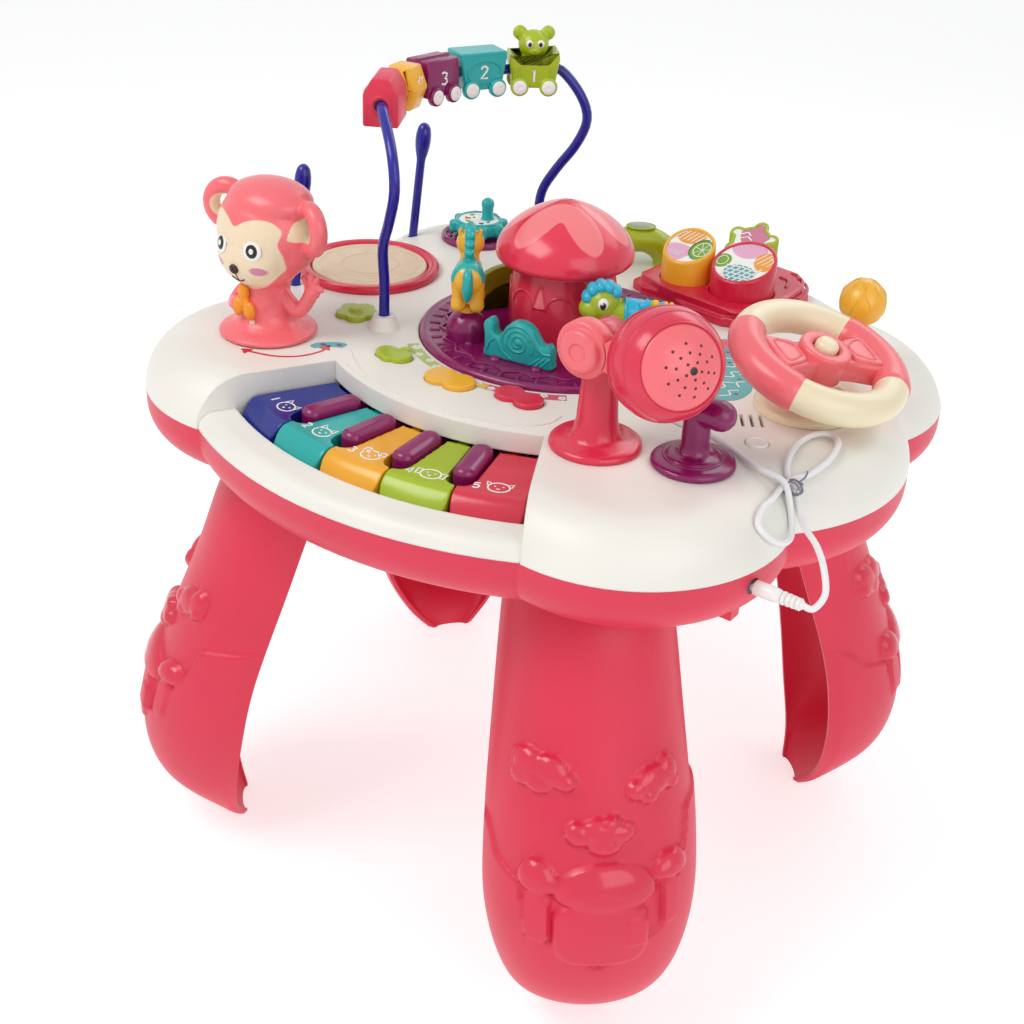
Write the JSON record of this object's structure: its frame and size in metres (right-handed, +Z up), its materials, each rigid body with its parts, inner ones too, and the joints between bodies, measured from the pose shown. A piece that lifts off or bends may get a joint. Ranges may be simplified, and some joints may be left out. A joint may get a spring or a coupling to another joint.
{
  "type": "musical activity table",
  "caption": "Child's activity table: shell top on splayed legs, with piano keys, turning mushroom carousel, drum, bead wire, steering wheel, levers and shape blocks.",
  "frame": {"origin": "on the floor under the centre of the table top", "axes": "+Z up; -Y toward the piano keys; +X toward the steering wheel"},
  "size_m": [0.447, 0.401, 0.48],
  "materials": {
    "coral_plastic": "moulded, glossy coral red",
    "white_plastic": "moulded, soft gloss warm white",
    "steel": "zinc plated",
    "board_green": "solder mask",
    "black_plastic": "moulded, matt black",
    "grey_rubber": "moulded silicone",
    "blue_wire": "dip coated, glossy dark blue",
    "lime_plastic": "moulded, glossy lime",
    "cream_plastic": "moulded, soft gloss cream",
    "plum_plastic": "moulded, glossy plum",
    "navy_plastic": "moulded, glossy navy",
    "teal_plastic": "moulded, glossy teal",
    "yellow_plastic": "moulded, glossy golden yellow",
    "salmon_plastic": "moulded, soft gloss salmon"
  },
  "bodies": {
    "table": {"tray": "coral_plastic", "top_cover": "white_plastic", "leg_front": "coral_plastic", "leg_left": "coral_plastic", "leg_right": "coral_plastic", "leg_rear": "coral_plastic", "service_door": "coral_plastic", "case_screws": "steel", "main_board": "board_green", "speaker": "black_plastic", "charge_jack": "black_plastic", "key_mat": "grey_rubber", "bead_wire": "blue_wire", "drum_ring": "coral_plastic", "arch_tunnel": "lime_plastic", "block_platform": "coral_plastic", "wheel_column": "cream_plastic", "dial_dish": "plum_plastic", "charge_cable": "white_plastic", "dc_plug": "white_plastic", "usb_plug": "white_plastic"},
    "carousel": {"carousel_plate": "plum_plastic", "mushroom_stem": "coral_plastic", "mushroom_cap": "coral_plastic", "pony": "yellow_plastic", "snail": "teal_plastic", "dinosaur": "lime_plastic"},
    "key_navy": {"key_navy": "navy_plastic"},
    "key_teal": {"key_teal": "teal_plastic"},
    "key_yellow": {"key_yellow": "yellow_plastic"},
    "key_lime": {"key_lime": "lime_plastic"},
    "key_red": {"key_red": "coral_plastic"},
    "sharp_1": {"sharp_1": "plum_plastic"},
    "sharp_2": {"sharp_2": "plum_plastic"},
    "sharp_3": {"sharp_3": "plum_plastic"},
    "sharp_4": {"sharp_4": "plum_plastic"},
    "apple_button": {"apple_button": "lime_plastic"},
    "yellow_button": {"yellow_button": "yellow_plastic"},
    "cherry_button": {"cherry_button": "coral_plastic"},
    "flower_button": {"flower_button": "lime_plastic"},
    "power_button": {"power_button": "white_plastic"},
    "drum_skin": {"drum_skin": "cream_plastic"},
    "monkey": {"monkey": "salmon_plastic"},
    "gear_dial": {"gear_dial": "teal_plastic"},
    "mic_post": {"mic_post": "coral_plastic"},
    "tap_lever": {"tap_lever": "plum_plastic"},
    "mic_head": {"mic_head": "coral_plastic"},
    "shift_lever": {"shift_lever": "yellow_plastic"},
    "steering_wheel": {"steering_wheel": "salmon_plastic"},
    "horn_button": {"horn_button": "cream_plastic"},
    "mallet_near": {"mallet_near": "navy_plastic"},
    "mallet_far": {"mallet_far": "navy_plastic"},
    "egg_block": {"egg_block": "yellow_plastic"},
    "round_block": {"round_block": "coral_plastic"},
    "star_block": {"star_block": "lime_plastic"},
    "car_three": {"car_three": "plum_plastic"},
    "bead_house": {"bead_house": "coral_plastic"},
    "bead_gem": {"bead_gem": "yellow_plastic"},
    "car_two": {"car_two": "teal_plastic"},
    "car_one": {"car_one": "lime_plastic"}
  },
  "joints": [
    {"name": "key_navy_press", "type": "hinge", "parent": "table", "child": "key_navy", "pos_m": [-0.0502, -0.09774, 0.307], "axis": [0.9272, -0.3746, 0], "range_deg": [0, 3], "stiffness_Nm_per_rad": 0.6, "springref_deg": -2.86},
    {"name": "key_teal_press", "type": "hinge", "parent": "table", "child": "key_teal", "pos_m": [-0.02557, -0.10504, 0.307], "axis": [0.9816, -0.1908, 0], "range_deg": [0, 3], "stiffness_Nm_per_rad": 0.6, "springref_deg": -2.86},
    {"name": "key_yellow_press", "type": "hinge", "parent": "table", "child": "key_yellow", "pos_m": [0, -0.1075, 0.307], "axis": [1, 0, 0], "range_deg": [0, 3], "stiffness_Nm_per_rad": 0.6, "springref_deg": -2.86},
    {"name": "key_lime_press", "type": "hinge", "parent": "table", "child": "key_lime", "pos_m": [0.02557, -0.10504, 0.307], "axis": [0.9816, 0.1908, 0], "range_deg": [0, 3], "stiffness_Nm_per_rad": 0.6, "springref_deg": -2.86},
    {"name": "key_red_press", "type": "hinge", "parent": "table", "child": "key_red", "pos_m": [0.0502, -0.09774, 0.307], "axis": [0.9272, 0.3746, 0], "range_deg": [0, 3], "stiffness_Nm_per_rad": 0.6, "springref_deg": -2.86},
    {"name": "sharp_1_press", "type": "hinge", "parent": "table", "child": "sharp_1", "pos_m": [-0.03806, -0.10198, 0.307], "axis": [0.9588, -0.284, 0], "range_deg": [0, 3], "stiffness_Nm_per_rad": 0.6, "springref_deg": -2.86},
    {"name": "sharp_2_press", "type": "hinge", "parent": "table", "child": "sharp_2", "pos_m": [-0.01284, -0.10688, 0.307], "axis": [0.9954, -0.0958, 0], "range_deg": [0, 3], "stiffness_Nm_per_rad": 0.6, "springref_deg": -2.86},
    {"name": "sharp_3_press", "type": "hinge", "parent": "table", "child": "sharp_3", "pos_m": [0.01284, -0.10688, 0.307], "axis": [0.9954, 0.0958, 0], "range_deg": [0, 3], "stiffness_Nm_per_rad": 0.6, "springref_deg": -2.86},
    {"name": "sharp_4_press", "type": "hinge", "parent": "table", "child": "sharp_4", "pos_m": [0.03806, -0.10198, 0.307], "axis": [0.9588, 0.284, 0], "range_deg": [0, 3], "stiffness_Nm_per_rad": 0.6, "springref_deg": -2.86},
    {"name": "apple_press", "type": "slide", "parent": "table", "child": "apple_button", "axis": [0, 0, -1], "range_m": [0, 0.0015], "stiffness_N_per_m": 300, "springref_m": -0.002},
    {"name": "yellow_press", "type": "slide", "parent": "table", "child": "yellow_button", "axis": [0, 0, -1], "range_m": [0, 0.0015], "stiffness_N_per_m": 300, "springref_m": -0.002},
    {"name": "cherry_press", "type": "slide", "parent": "table", "child": "cherry_button", "axis": [0, 0, -1], "range_m": [0, 0.0015], "stiffness_N_per_m": 300, "springref_m": -0.002},
    {"name": "flower_press", "type": "slide", "parent": "table", "child": "flower_button", "axis": [0, 0, -1], "range_m": [0, 0.0015], "stiffness_N_per_m": 300, "springref_m": -0.002},
    {"name": "power_press", "type": "slide", "parent": "table", "child": "power_button", "axis": [0, 0, -1], "range_m": [0, 0.0015], "stiffness_N_per_m": 300, "springref_m": -0.002},
    {"name": "drum_skin_press", "type": "slide", "parent": "table", "child": "drum_skin", "axis": [0, 0, -1], "range_m": [0, 0.0015], "stiffness_N_per_m": 800, "springref_m": -0.002},
    {"name": "carousel_turn", "type": "hinge", "parent": "table", "child": "carousel", "pos_m": [0.001, 0.0085, 0.324], "axis": [0, 0, 1], "continuous": true},
    {"name": "monkey_turn", "type": "hinge", "parent": "table", "child": "monkey", "pos_m": [-0.1256, -0.1001, 0.324], "axis": [0, 0, 1], "continuous": true},
    {"name": "dial_turn", "type": "hinge", "parent": "table", "child": "gear_dial", "pos_m": [-0.131, 0.104, 0.324], "axis": [0, 0, 1], "continuous": true},
    {"name": "mic_swivel", "type": "hinge", "parent": "table", "child": "mic_post", "pos_m": [0.0943, -0.0956, 0.324], "axis": [0, 0, 1], "range_deg": [-75, 0]},
    {"name": "tap_swivel", "type": "hinge", "parent": "table", "child": "tap_lever", "pos_m": [0.1424, -0.0815, 0.324], "axis": [0, 0, 1], "range_deg": [-20, 100]},
    {"name": "mic_tilt", "type": "hinge", "parent": "mic_post", "child": "mic_head", "pos_m": [0.0943, -0.1126, 0.381], "axis": [0, -1, 0], "range_deg": [0, 70]},
    {"name": "shift_tilt", "type": "hinge", "parent": "table", "child": "shift_lever", "pos_m": [0.15, 0.0825, 0.312], "axis": [0, 1, 0], "range_deg": [-15, 15]},
    {"name": "wheel_turn", "type": "hinge", "parent": "table", "child": "steering_wheel", "pos_m": [0.1594, 0.0134, 0.352], "axis": [0.2924, 0, 0.9563], "range_deg": [-90, 90]},
    {"name": "horn_press", "type": "slide", "parent": "steering_wheel", "child": "horn_button", "axis": [-0.2924, 0, -0.9563], "range_m": [0, 0.0015], "stiffness_N_per_m": 300, "springref_m": -0.002},
    {"name": "mallet_near_lift", "type": "slide", "parent": "table", "child": "mallet_near", "axis": [0.0742, 0.052, 0.9959], "range_m": [0, 0.05]},
    {"name": "mallet_far_lift", "type": "slide", "parent": "table", "child": "mallet_far", "axis": [0.0742, 0.052, 0.9959], "range_m": [0, 0.05]},
    {"name": "egg_lift", "type": "slide", "parent": "table", "child": "egg_block", "axis": [0, 0, 1], "range_m": [0, 0.06]},
    {"name": "round_lift", "type": "slide", "parent": "table", "child": "round_block", "axis": [0, 0, 1], "range_m": [0, 0.06]},
    {"name": "star_lift", "type": "slide", "parent": "table", "child": "star_block", "axis": [0, 0, 1], "range_m": [0, 0.06]},
    {"name": "car_three_travel", "type": "hinge", "parent": "table", "child": "car_three", "pos_m": [-0.022, 0.0228, 0.445], "axis": [0, 0, 1], "range_deg": [0, 7]},
    {"name": "bead_house_travel", "type": "hinge", "parent": "table", "child": "bead_house", "pos_m": [-0.022, 0.0228, 0.445], "axis": [0, 0, 1], "range_deg": [0, 7]},
    {"name": "bead_gem_travel", "type": "hinge", "parent": "table", "child": "bead_gem", "pos_m": [-0.022, 0.0228, 0.445], "axis": [0, 0, 1], "range_deg": [0, 7]},
    {"name": "car_two_travel", "type": "hinge", "parent": "table", "child": "car_two", "pos_m": [-0.022, 0.0228, 0.445], "axis": [0, 0, 1], "range_deg": [0, 7]},
    {"name": "car_one_travel", "type": "hinge", "parent": "table", "child": "car_one", "pos_m": [-0.022, 0.0228, 0.445], "axis": [0, 0, 1], "range_deg": [0, 7]}
  ],
  "couplings": [
    {"joint": "bead_house_travel", "follows": "car_three_travel", "ratio": 1},
    {"joint": "bead_gem_travel", "follows": "car_three_travel", "ratio": 1},
    {"joint": "car_two_travel", "follows": "car_three_travel", "ratio": 1},
    {"joint": "car_one_travel", "follows": "car_three_travel", "ratio": 1}
  ]
}
